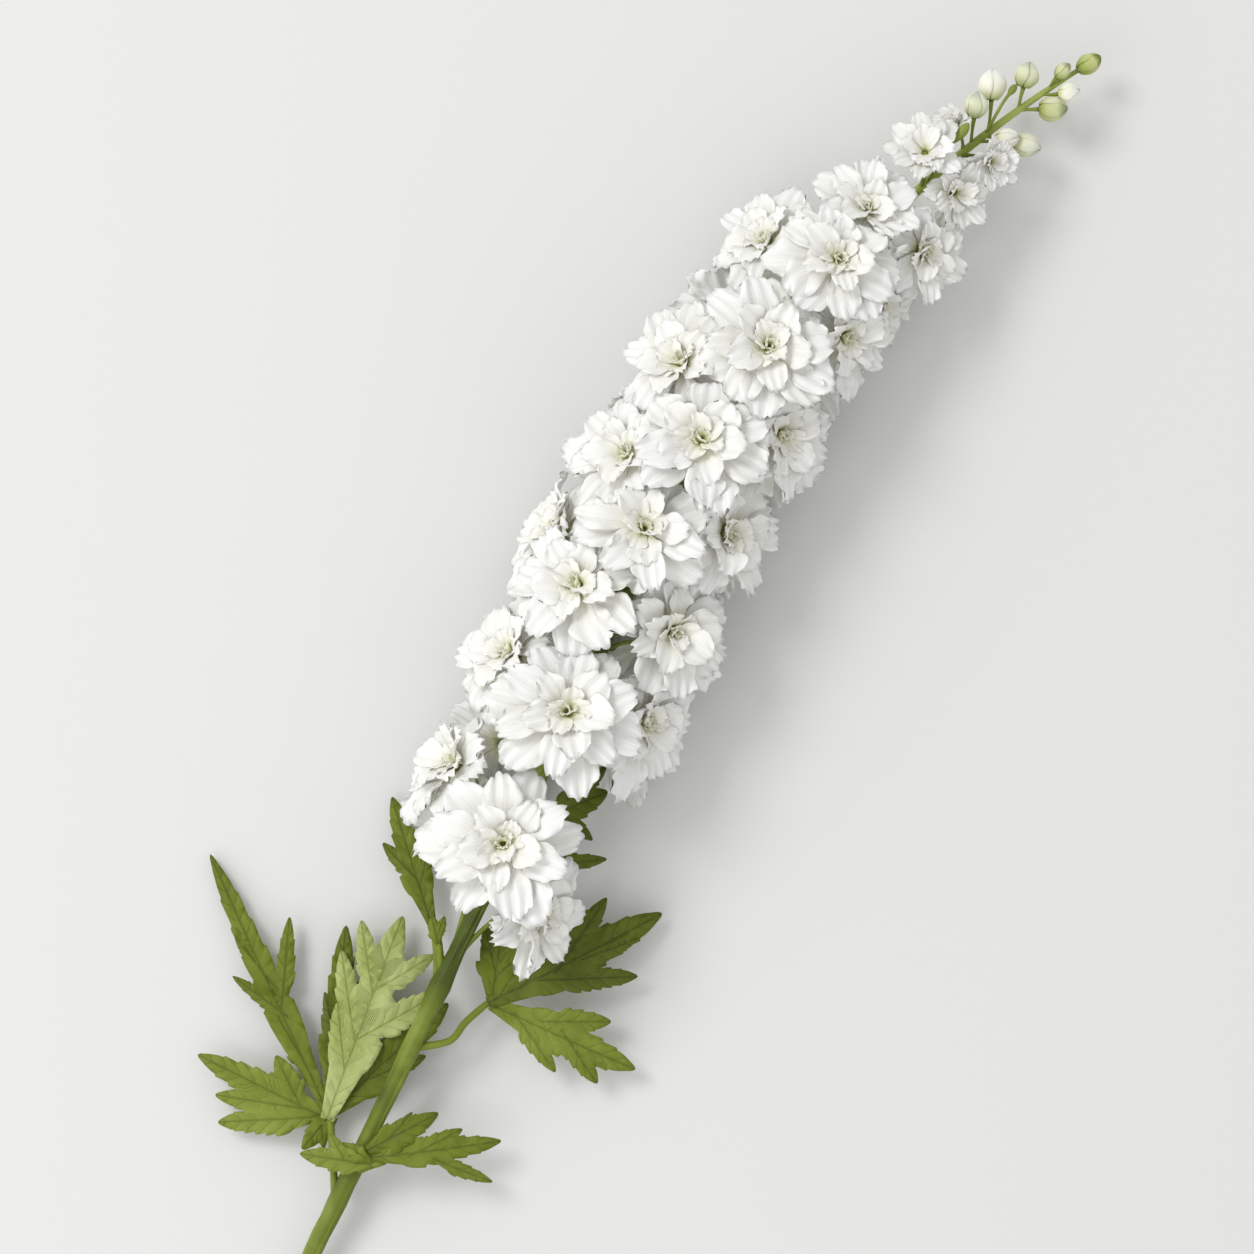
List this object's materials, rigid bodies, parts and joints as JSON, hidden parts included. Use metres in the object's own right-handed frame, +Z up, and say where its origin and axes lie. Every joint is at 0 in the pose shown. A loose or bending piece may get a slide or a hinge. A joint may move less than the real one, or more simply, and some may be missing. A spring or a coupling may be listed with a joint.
{
  "type": "cut stem of double white delphinium",
  "caption": "Cut flower spike lying on its side: a bare lower stem with toothed palmate leaves, then crowded double blooms in rows that taper to buds at the tip.",
  "frame": {"origin": "middle of the footprint, on the surface that the stem lies on", "axes": "+X from the cut end towards the tip, along the straight lower stem; +Y to the left of that; +Z up, away from the surface"},
  "size_m": [0.6951, 0.201, 0.0842],
  "materials": {
    "stem_green": "satin",
    "leaf_green": "satin",
    "petal_white": "matte",
    "bud_green": "satin"
  },
  "bodies": {
    "root": {"bloom_back_left_1": "petal_white", "bloom_back_left_2": "petal_white", "bloom_back_left_3": "petal_white", "bloom_back_left_4": "petal_white", "bloom_back_left_5": "petal_white", "bloom_back_left_6": "petal_white", "bloom_back_left_7": "petal_white", "bloom_back_left_8": "petal_white", "bloom_back_right_1": "petal_white", "bloom_back_right_2": "petal_white", "bloom_back_right_3": "petal_white", "bloom_back_right_4": "petal_white", "bloom_back_right_5": "petal_white", "bloom_back_right_6": "petal_white", "bloom_front_1": "petal_white", "bloom_front_2": "petal_white", "bloom_front_3": "petal_white", "bloom_front_4": "petal_white", "bloom_front_5": "petal_white", "bloom_front_6": "petal_white", "bloom_front_7": "petal_white", "bloom_front_8": "petal_white", "bloom_left_1": "petal_white", "bloom_left_2": "petal_white", "bloom_left_3": "petal_white", "bloom_left_4": "petal_white", "bloom_left_5": "petal_white", "bloom_left_6": "petal_white", "bloom_left_7": "petal_white", "bloom_left_8": "petal_white", "bloom_right_1": "petal_white", "bloom_right_10": "petal_white", "bloom_right_2": "petal_white", "bloom_right_3": "petal_white", "bloom_right_4": "petal_white", "bloom_right_5": "petal_white", "bloom_right_6": "petal_white", "bloom_right_7": "petal_white", "bloom_right_8": "petal_white", "bloom_right_9": "petal_white", "bud_1": "bud_green", "bud_2": "bud_green", "bud_3": "bud_green", "bud_4": "bud_green", "bud_5": "bud_green", "bud_6": "bud_green", "bud_7": "bud_green", "bud_8": "bud_green", "bud_9": "bud_green", "leaf_lower_left": "leaf_green", "leaf_lower_right": "leaf_green", "leaf_middle_right": "leaf_green", "leaf_small_left": "leaf_green", "leaf_small_right": "leaf_green", "leaf_upper_left": "leaf_green", "leaf_upper_right": "leaf_green", "stem": "stem_green"}
  },
  "joints": []
}
